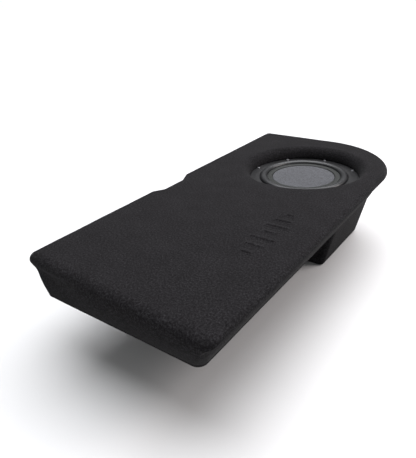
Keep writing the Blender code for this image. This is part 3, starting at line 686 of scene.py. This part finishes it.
def carpet_pod():
    """Carpet round the pod, cut out and tucked in round the amplifier."""
    lean = 0.25
    half = POD_HIGH.x - lean * POD_HIGH.z
    corners_round = 0.010
    rim = UNDERSIDE + 0.0012
    foot_round = 0.006
    tuck = 0.0015

    def plan(z, depth):
        wide = half + lean * z - depth
        y0, y1 = POD_LOW.y + depth, POD_HIGH.y - depth
        radius = corners_round - min(depth, 0.006)
        return [(-wide, y0, radius, 8), (wide, y0, radius, 8), (wide, y1, radius, 8), (-wide, y1, radius, 8)]

    spans = (30, 24, 30, 24)
    rings = []
    middle_y = (POD_LOW.y + POD_HIGH.y) / 2
    for share in (0.12, 0.4, 0.7, 1.0):
        ring = rounded(plan(0.0, foot_round), spans)
        rings.append([Vector((x * share, middle_y + (y - middle_y) * share, 0.0)) for x, y in ring])
    for k in range(1, 6):
        angle = math.pi / 2 * k / 5
        depth = foot_round * (1 - math.sin(angle))
        z = foot_round * (1 - math.cos(angle))
        rings.append([Vector((x, y, z)) for x, y in rounded(plan(z, depth), spans)])
    for k in range(1, 19):
        z = foot_round + (rim - foot_round) * k / 18
        rings.append([Vector((x, y, z)) for x, y in rounded(plan(z, 0.0), spans)])
    for level in reversed(wrap_levels()[LIP_LEVELS:]):
        z, wall = level[1], rounded(inset(level[0], tuck), WALL_SPANS)
        if z > rim + 0.001:
            ring = []
            for point, (x, y) in zip(rings[-1], rounded(plan(z, 0.0), spans)):
                ring.append(point.copy() if within(point.x, point.y, wall) else Vector((x, y, z)))
            rings.append(ring)
    shape = bmesh.new()
    made_rings = skin(shape, rings)
    shape.faces.new(made_rings[0])
    bmesh.ops.remove_doubles(shape, verts=shape.verts, dist=WELD)
    bmesh.ops.recalc_face_normals(shape, faces=shape.faces)
    shape.normal_update()
    for vert in shape.verts:
        if 0.004 < vert.co.z < rim - 0.004:
            vert.co += vert.normal * min(ripple(vert.co, 0.0005), 0.0)
    mesh = mesh_of("carpet_pod_skin", shape, SOFT_EDGE)
    made = piece("carpet_pod_skin", mesh, "carpet", nodes=("carpet_pod",))
    thicken(made, DRAWN_CARPET)
    window = bmesh.new()
    gap = 0.0006
    low = Vector((PLATE_LOW.x - gap, POD_HIGH.y - 0.02, PLATE_LOW.z - gap))
    high = Vector((PLATE_HIGH.x + gap, POD_HIGH.y + 0.02, PLATE_HIGH.z + gap))
    size = Matrix.Diagonal((*(high - low), 1.0))
    bmesh.ops.create_cube(window, size=1.0, matrix=Matrix.Translation((low + high) / 2) @ size)
    cut_away(made, window)


def cut_away(made, tool, crossing=False):
    """Take a closed shape out of a piece. The shape's own parts may be crossing each other."""
    cutter = bpy.data.objects.new("cutter", mesh_of("cutter", tool))
    bpy.context.scene.collection.objects.link(cutter)
    step = made.modifiers.new("cut", "BOOLEAN")
    step.operation = "DIFFERENCE"
    step.object = cutter
    step.solver = "EXACT"
    step.use_self = crossing
    settle(made)
    bpy.data.objects.remove(cutter, do_unlink=True)


def settle(made):
    """Turn a piece's modifiers into its own mesh."""
    bpy.context.view_layer.update()
    evaluated = made.evaluated_get(bpy.context.evaluated_depsgraph_get())
    mesh = bpy.data.meshes.new_from_object(evaluated)
    made.modifiers.clear()
    made.data = mesh


def raised_mark():
    """Generic sound-wave mark moulded under the carpet: soft bars that swell out of the lid."""
    lengths = (0.018, 0.036, 0.048, 0.028, 0.044, 0.032, 0.016)
    pitch = 0.027
    start = Vector((0.122, -0.214, 0.0))
    half_bar = 0.0030
    border = 0.006
    swell = 0.0034
    hem = 0.0012
    cells = 0.0011
    shape = bmesh.new()
    for i, length in enumerate(lengths):
        middle = start + Vector((0.0, pitch * i, 0.0))
        half_x, half_y = length / 2 + border, half_bar + border
        count_x, count_y = round(2 * half_x / cells), round(2 * half_y / cells)
        grid = []
        for a in range(count_x + 1):
            column = []
            for b in range(count_y + 1):
                x = -half_x + 2 * half_x * a / count_x
                y = -half_y + 2 * half_y * b / count_y
                away = math.hypot(max(abs(x) - length / 2 + half_bar, 0.0), y) - half_bar
                rise = smooth(0.5 - away / swell)
                edge = max(abs(x) - half_x + hem, abs(y) - half_y + hem, 0.0) / hem
                spot = Vector((middle.x + x, middle.y + y, HEIGHT))
                lift = 0.0003 + MARK_RISE * rise - 0.0016 * edge
                column.append(shape.verts.new(spot + Vector((0.0, 0.0, lift))))
            grid.append(column)
        for a in range(count_x):
            for b in range(count_y):
                shape.faces.new((grid[a][b], grid[a + 1][b], grid[a + 1][b + 1], grid[a][b + 1]))
    made = piece("raised_mark", mesh_of("raised_mark", shape, math.radians(80)), "carpet")
    thicken(made, 0.0018)


# ---------------------------------------------------------------- driver

def surround():
    """Half-roll rubber ring in two halves that meet at its crest."""
    base = ROLL_LOW.z + 0.0001
    top = base + RUBBER
    crest = top + ROLL_RISE
    inside = (ROLL_RADIUS - RUBBER, ROLL_RISE - RUBBER)
    outer = [(RUBBER_RADIUS, base), (RUBBER_RADIUS, top - 0.0003), (RUBBER_RADIUS - 0.0003, top)]
    outer += arc((ROLL_CENTRE, top), ROLL_RADIUS, 0, 90, 20, ROLL_RISE)
    outer += arc((ROLL_CENTRE, top), inside[0], 90, 0, 20, inside[1])
    outer += [(ROLL_CENTRE + inside[0], base)]
    inner = [(RUBBER_INNER, top), (RUBBER_INNER, base), (ROLL_CENTRE - inside[0], base)]
    inner += arc((ROLL_CENTRE, top), inside[0], 180, 90, 20, inside[1])
    inner += arc((ROLL_CENTRE, top), ROLL_RADIUS, 90, 180, 20, ROLL_RISE)
    for name, profile, start, end in (
        ("surround_outer", outer, base, 2 * crest - base), ("surround_inner", inner, 2 * crest - base, base),
    ):
        made = piece(name, lathe(name, profile, DRIVER), "rubber", body=None, nodes=("surround",))
        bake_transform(made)


def cone_body():
    """Cone with the flat rim that the surround's inner lip is glued to."""
    top = CONE_HIGH.z
    low = CONE_LOW.z
    neck = 0.0324
    profile = [(CONE_RADIUS, top - 0.0002), (CONE_RADIUS, top - 0.0014), (0.075, top - 0.0014)]
    profile += [(0.036, low), (neck, low), (neck, low + 0.0024), (0.0355, low + 0.0024)]
    profile += [(0.074, top - 0.0002)]
    piece("cone_body", lathe("cone_body", profile, DRIVER), "cone", "cone_assembly", ("cone",))


def rim_ring():
    """Satin ring that covers the glue between the surround's inner lip and the disc."""
    base = ROLL_LOW.z + 0.0001 + RUBBER
    profile = [(0.0886, base + 0.0001), (0.0884, base + 0.0014), (0.0876, base + 0.0018)]
    profile += [(0.0778, base + 0.0014), (0.0766, base + 0.0008), (0.0766, base + 0.0001)]
    piece("rim_ring", lathe("rim_ring", profile, DRIVER), "cone", "cone_assembly")


def woven_disc():
    """Shallow dished disc with a soft rolled edge."""
    rim = DISC_HIGH.z
    dish = 0.0030
    face = [(0.0, rim - dish)]
    for k in range(1, 25):
        share = k / 24 * 0.98
        face.append((DISC_RADIUS * share, rim - dish * (1 - share ** 2)))
    edge = [(DISC_RADIUS - 0.0006, rim), (DISC_RADIUS, rim - 0.0005), (DISC_RADIUS, DISC_HIGH.z - 0.0013)]
    under = [(DISC_RADIUS - 0.0035, DISC_HIGH.z - 0.0013)]
    under += [(radius, z - 0.0011) for radius, z in reversed(face[:20])]
    profile = [(AXIS, face[0][1])] + face[1:] + edge + under[:-1] + [(AXIS, face[0][1] - 0.0011)]
    mesh = lathe("woven_disc", profile, DRIVER, closed=False)
    piece("woven_disc", mesh, "disc", "cone_assembly", ("centre_disc",))


def flange_face():
    """Raised face of the frame's flange, with a rolled inner edge round the surround."""
    base = FLANGE_TOP + 0.0002
    top = base + 0.0022
    profile = [(FLANGE_RADIUS, base), (FLANGE_STEP_RADIUS, base)]
    profile += arc((FLANGE_STEP_RADIUS + 0.0012, top - 0.0012), 0.0012, 180, 90, 5)
    profile += [(0.1200, top), (0.1215, top - 0.0006), (0.1345, top - 0.0009), (FLANGE_RADIUS, top - 0.0014)]
    piece("flange_face", lathe("flange_face", profile, DRIVER), "frame")


def cross_head(name, place, axis, radius, height, look, node):
    """Pan-head screw with a washer flange and a cross recess."""
    profile = [(AXIS, height), (radius * 0.45, height * 0.98), (radius * 0.72, height * 0.86)]
    profile += [(radius * 0.9, height * 0.55), (radius * 0.96, height * 0.25), (radius, height * 0.2)]
    profile += [(radius, 0.0), (AXIS, 0.0)]
    head = piece(name, lathe(name, profile, place, axis, closed=False, steps=40), look, nodes=(node,))
    arm = bmesh.new()
    for turn in (0.0, math.pi / 2):
        spin = Matrix.Rotation(turn + 0.4, 4, axis)
        size = (radius * 1.05, radius * 0.26, height * 1.2)
        if axis == "Y":
            size = (size[0], size[2], size[1])
        offset = Vector((0.0, 0.0, height * 1.1)) if axis == "Z" else Vector((0.0, height * 1.1, 0.0))
        matrix = Matrix.Translation(Vector(place) + offset) @ spin @ Matrix.Diagonal((*size, 1.0))
        bmesh.ops.create_cube(arm, size=1.0, matrix=matrix)
    cut_away(head, arm, crossing=True)


def driver_screws():
    for i in range(1, 9):
        node = f"driver_screw_{i}"
        low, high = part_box(node)
        place = ((low.x + high.x) / 2, (low.y + high.y) / 2, high.z - 0.0030 + 0.0010)
        cross_head(f"flange_screw_{i}", place, "Z", 0.0044, 0.0026, "black_screw", node)


# ---------------------------------------------------------------- amplifier

def plate_screws():
    for i in range(1, 5):
        node = f"plate_screw_{i}"
        low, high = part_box(node)
        place = ((low.x + high.x) / 2, high.y - 0.0024, (low.z + high.z) / 2)
        cross_head(f"panel_screw_{i}", place, "Y", 0.0038, 0.0023, "black_screw", node)


TICK_RADIUS = 0.0092
TICK_SIZE = Matrix.Diagonal((0.0018, 0.00012, 0.0004, 1.0))


def knobs():
    """Fluted control knobs with a pointer line, and a ring of printed ticks round each."""
    for name in ("gain", "crossover", "bass_boost"):
        low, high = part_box(f"{name}_knob")
        x, z = (low.x + high.x) / 2, (low.z + high.z) / 2
        base = PLATE_HIGH.y + 0.0006
        stem = PLATE_LOW.y + 0.0005
        top = high.y
        radius = (high.x - low.x) / 2

        def flutes(angle, height):
            return 1 + 0.035 * math.cos(18 * angle) * (base + 0.001 < height < top - 0.0012)

        profile = [
            (AXIS, top), (radius * 0.62, top), (radius * 0.78, top - 0.0003), (radius * 0.86, top - 0.0010),
            (radius * 0.90, top - 0.0014), (radius * 0.95, base + 0.0012), (radius * 0.96, base + 0.0008),
            (radius, base + 0.0005), (radius, base), (radius * 0.46, base), (radius * 0.46, stem),
            (AXIS, stem),
        ]
        mesh = lathe(f"{name}_dial", profile, (x, 0.0, z), "Y", closed=False, steps=144, wave=flutes)
        piece(f"{name}_dial", mesh, "plastic", f"{name}_control", (f"{name}_knob",))
        start, end = (x - 0.0004, top - 0.0002, z + 0.001), (x + 0.0004, top + 0.00012, z + 0.0036)
        line = slab_box(f"{name}_pointer", start, end)
        piece(f"{name}_pointer", line, "print", f"{name}_control")
        ticks = bmesh.new()
        for k in range(11):
            angle = math.radians(90 + 140 - 28 * k)
            across, up = TICK_RADIUS * math.cos(angle), TICK_RADIUS * math.sin(angle)
            spot = Matrix.Translation((x + across, PLATE_HIGH.y + 0.00004, z + up))
            turn = Matrix.Rotation(-angle, 4, "Y")
            bmesh.ops.create_cube(ticks, size=1.0, matrix=spot @ turn @ TICK_SIZE)
        piece(f"{name}_ticks", mesh_of(f"{name}_ticks", ticks), "print")


def slab_box(name, low, high):
    """A small block with softened edges."""
    shape = bmesh.new()
    size = [b - a for a, b in zip(low, high)]
    middle = [(a + b) / 2 for a, b in zip(low, high)]
    bmesh.ops.create_cube(shape, size=1.0, matrix=Matrix.Translation(middle) @ Matrix.Diagonal((*size, 1.0)))
    bmesh.ops.bevel(shape, geom=shape.edges, offset=0.0001, segments=2, profile=0.5, affect="EDGES")
    return mesh_of(name, shape)


def phono_jacks():
    """Gilt barrels with a coloured insulator, white on the left and red on the right."""
    for side, ring in (("left", "white_ring"), ("right", "red_ring")):
        node = f"rca_jack_{side}"
        low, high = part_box(node)
        x, z = (low.x + high.x) / 2, (low.z + high.z) / 2
        top = high.y
        outer, bore = 0.0042, 0.0034
        back = PLATE_LOW.y + 0.0004
        profile = [(bore, top - 0.0003), (bore + 0.0003, top), (outer - 0.0003, top), (outer, top - 0.0004)]
        profile += [(outer, back), (0.0010, back), (0.0010, top - 0.0085), (bore, top - 0.0085)]
        mesh = lathe(f"phono_{side}", profile, (x, 0.0, z), "Y", steps=48)
        piece(f"phono_{side}", mesh, "gold", nodes=(node,))
        face = [(bore - 0.0001, top - 0.0008), (0.0017, top - 0.0008), (0.0015, top - 0.0012)]
        face += [(0.0015, top - 0.008), (bore - 0.0001, top - 0.008)]
        mesh = lathe(f"phono_insulator_{side}", face, (x, 0.0, z), "Y", steps=48)
        piece(f"phono_insulator_{side}", mesh, ring)


def contacts():
    """Pins in the input socket, clamps and screws in the power terminal."""
    low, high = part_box("speaker_input_socket")
    z = (low.z + high.z) / 2
    for k in range(4):
        x = low.x + (high.x - low.x) * (k + 1) / 5
        start, end = (x - 0.0004, 0.3219, z - 0.0004), (x + 0.0004, high.y - 0.003, z + 0.0004)
        piece(f"input_pin_{k + 1}", slab_box(f"input_pin_{k + 1}", start, end), "gold")
    low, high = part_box("power_terminal")
    middle, z = (low.x + high.x) / 2, (low.z + high.z) / 2
    for k in range(3):
        x = middle + 0.0155 * (k - 1)
        start, end = (x - 0.0031, 0.3272, z - 0.0042), (x + 0.0031, 0.3290, z + 0.0022)
        piece(f"wire_clamp_{k + 1}", slab_box(f"wire_clamp_{k + 1}", start, end), "zinc")
        profile = [(AXIS, 0.0006), (0.0019, 0.0006), (0.0024, 0.0003), (0.0024, 0.0), (AXIS, 0.0)]
        mesh = lathe(f"clamp_screw_{k + 1}", profile, (x, high.y, z + 0.0053), "Y", closed=False, steps=32)
        piece(f"clamp_screw_{k + 1}", mesh, "zinc")


def soften(node, width):
    """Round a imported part's machined or moulded edges a little."""
    part = frame["nodes"][node]
    step = part.modifiers.new("edge_round", "BEVEL")
    step.width = width
    step.segments = 2
    step.limit_method = "ANGLE"
    step.angle_limit = math.radians(35)
    step.harden_normals = False


# ---------------------------------------------------------------- inside

def wadding():
    """Batt of loose polyester fill, uneven all over."""
    low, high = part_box("acoustic_wadding")
    shape = bmesh.new()
    size = (high - low) * 0.94
    matrix = Matrix.Translation((low + high) / 2) @ Matrix.Diagonal((*size, 1.0))
    bmesh.ops.create_cube(shape, size=1.0, matrix=matrix)
    bmesh.ops.bevel(shape, geom=shape.edges, offset=0.012, segments=3, profile=0.5, affect="EDGES")
    bmesh.ops.subdivide_edges(shape, edges=shape.edges, cuts=7, use_grid_fill=True)
    shape.normal_update()
    for vert in shape.verts:
        vert.co += vert.normal * 0.0022 * noise.noise(vert.co * 45.0)
    mesh = mesh_of("wadding_batt", shape, math.radians(80))
    made = piece("wadding_batt", mesh, "wadding", nodes=("acoustic_wadding",))


SOFTENED = {
    "amp_plate": 0.0005, "heat_sink": 0.0004, "speaker_input_socket": 0.0004, "power_terminal": 0.0005,
    "fuse_holder": 0.0004, "blade_fuse": 0.0006, "phase_switch": 0.0003,
}


def dress_packed_parts():
    """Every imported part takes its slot's look; edges that show are softened."""
    slots = {row["node"]: row["material_slot"] for row in frame["record"]["subparts"]}
    for name, part in frame["nodes"].items():
        part.data.materials.clear()
        part.data.materials.append(LOOKS[slots[name]])
    for node, width in SOFTENED.items():
        soften(node, width)


# ---------------------------------------------------------------- studio and camera

def area_light(name, place, aim, size, power, colour):
    data = bpy.data.lights.new(name, "AREA")
    data.shape = "RECTANGLE"
    data.size, data.size_y = size
    data.energy = power
    data.color = colour
    lamp = bpy.data.objects.new(name, data)
    lamp.location = place
    lamp.rotation_euler = (Vector(aim) - Vector(place)).to_track_quat("-Z", "Y").to_euler()
    bpy.context.scene.collection.objects.link(lamp)


def studio():
    """Plain pale floor, an even pale sky and soft lamps from behind and above."""
    shape = bmesh.new()
    drop = Matrix.Translation((0.0, 0.0, -0.0003))
    bmesh.ops.create_grid(shape, x_segments=1, y_segments=1, size=60.0, matrix=drop)
    floor = bpy.data.objects.new("floor", mesh_of("floor", shape))
    bpy.context.scene.collection.objects.link(floor)
    look = Look("floor_paint", (0.56, 0.56, 0.56), 0.9)
    look.colour(look.noise(3.0, 2.0), ((0.3, (0.55, 0.55, 0.55)), (0.7, (0.57, 0.57, 0.57))))
    floor.data.materials.append(look.material)
    world = bpy.data.worlds.new("studio_sky")
    world.use_nodes = True
    sky = world.node_tree.nodes["Background"]
    sky.inputs["Color"].default_value = (0.98, 0.99, 1.0, 1.0)
    nodes, links = world.node_tree.nodes, world.node_tree.links
    place = nodes.new("ShaderNodeTexCoord")
    parts = nodes.new("ShaderNodeSeparateXYZ")
    glow = nodes.new("ShaderNodeMapRange")
    for name, value in (("From Min", 0.06), ("From Max", 0.20), ("To Min", 1.05), ("To Max", 0.34)):
        glow.inputs[name].default_value = value
    links.new(place.outputs["Generated"], parts.inputs["Vector"])
    links.new(parts.outputs["Z"], glow.inputs["Value"])
    links.new(glow.outputs["Result"], sky.inputs["Strength"])
    bpy.context.scene.world = world
    bpy.context.scene.view_settings.view_transform = "Standard"
    data = bpy.data.lights.new("key_lamp", "SUN")
    data.energy = 5.3
    data.angle = math.radians(64)
    data.color = (0.97, 0.975, 1.0)
    lamp = bpy.data.objects.new("key_lamp", data)
    lamp.rotation_euler = Vector((0.10, -0.30, -1.0)).to_track_quat("-Z", "Y").to_euler()
    bpy.context.scene.collection.objects.link(lamp)
    area_light("side_lamp", (1.5, 1.1, 1.5), (0.1, 0.2, 0.15), (1.2, 0.9), 34.0, (1.0, 0.93, 0.92))


def camera():
    """The view from above the near right corner, with the camera rolled a little."""
    yaw, pitch, roll = math.radians(37.636), math.radians(27.112), math.radians(-3.431)
    back = Vector((math.sin(yaw) * math.cos(pitch), -math.cos(yaw) * math.cos(pitch), math.sin(pitch)))
    right = Vector((0.0, 0.0, 1.0)).cross(back).normalized()
    up = back.cross(right)
    rolled_right = right * math.cos(roll) + up * math.sin(roll)
    rolled_up = up * math.cos(roll) - right * math.sin(roll)
    data = bpy.data.cameras.new("camera")
    data.lens = 36.87
    data.sensor_width = 36.0
    eye = bpy.data.objects.new("camera", data)
    turn = Matrix((rolled_right, rolled_up, back)).transposed().to_4x4()
    eye.matrix_world = Matrix.Translation((0.494, -0.799, 0.601)) @ turn
    bpy.context.scene.collection.objects.link(eye)
    bpy.context.scene.camera = eye


# ---------------------------------------------------------------- assembly

dress_packed_parts()
carpet_wrap()
shell_skin()
carpet_pod()
raised_mark()
surround()
cone_body()
rim_ring()
woven_disc()
flange_face()
driver_screws()
plate_screws()
knobs()
phono_jacks()
contacts()
wadding()
studio()
camera()
